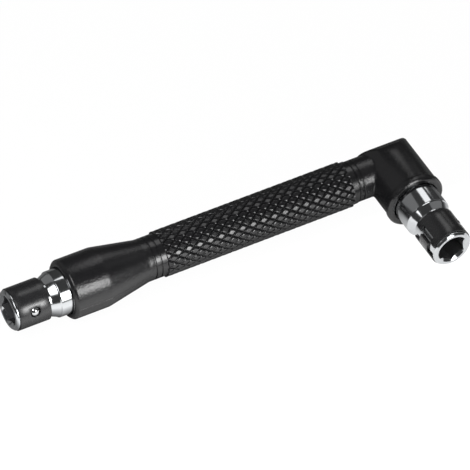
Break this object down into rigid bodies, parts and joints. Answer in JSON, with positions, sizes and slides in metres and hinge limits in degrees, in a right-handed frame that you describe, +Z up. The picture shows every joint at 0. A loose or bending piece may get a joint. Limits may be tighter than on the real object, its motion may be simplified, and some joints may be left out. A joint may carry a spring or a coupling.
{
  "type": "l-shaped bit driver",
  "caption": "L-shaped hand driver for quarter-inch hex bits: a knurled black handle with a chromed bit socket at its front end and another on the short arm of its elbow.",
  "frame": {"origin": "on the surface that the tool lies on, under the middle of its box", "axes": "+X along the handle from the front mouth to the elbow, -Y along the short arm to its mouth, +Z up; the tool lies on its side"},
  "size_m": [0.1098, 0.037, 0.0149],
  "materials": {
    "chromed_steel": "turned and chrome plated, bright",
    "black_spring_steel": "black oxide, semi-gloss",
    "bearing_steel": "polished",
    "black_plastic": "moulded, semi-gloss black",
    "plain_steel": "drawn, not seen"
  },
  "bodies": {
    "driver": {"front_socket": "chromed_steel", "front_clip": "black_spring_steel", "nose_cone": "black_plastic", "grip_sleeve": "black_plastic", "core_rod": "plain_steel", "elbow_housing": "black_plastic", "elbow_socket": "chromed_steel", "elbow_clip": "black_spring_steel"},
    "front_ball": {"front_ball": "bearing_steel"},
    "elbow_ball": {"elbow_ball": "bearing_steel"}
  },
  "joints": [
    {"name": "front_ball_slide", "type": "slide", "parent": "driver", "child": "front_ball", "axis": [0, -0.9272, 0.3746], "range_m": [0, 0.00115], "stiffness_N_per_m": 5000, "springref_m": -0.0003, "deforming": ["front_clip"]},
    {"name": "elbow_ball_slide", "type": "slide", "parent": "driver", "child": "elbow_ball", "axis": [0.848, 0, 0.5299], "range_m": [0, 0.00115], "stiffness_N_per_m": 5000, "springref_m": -0.0003, "deforming": ["elbow_clip"]}
  ]
}
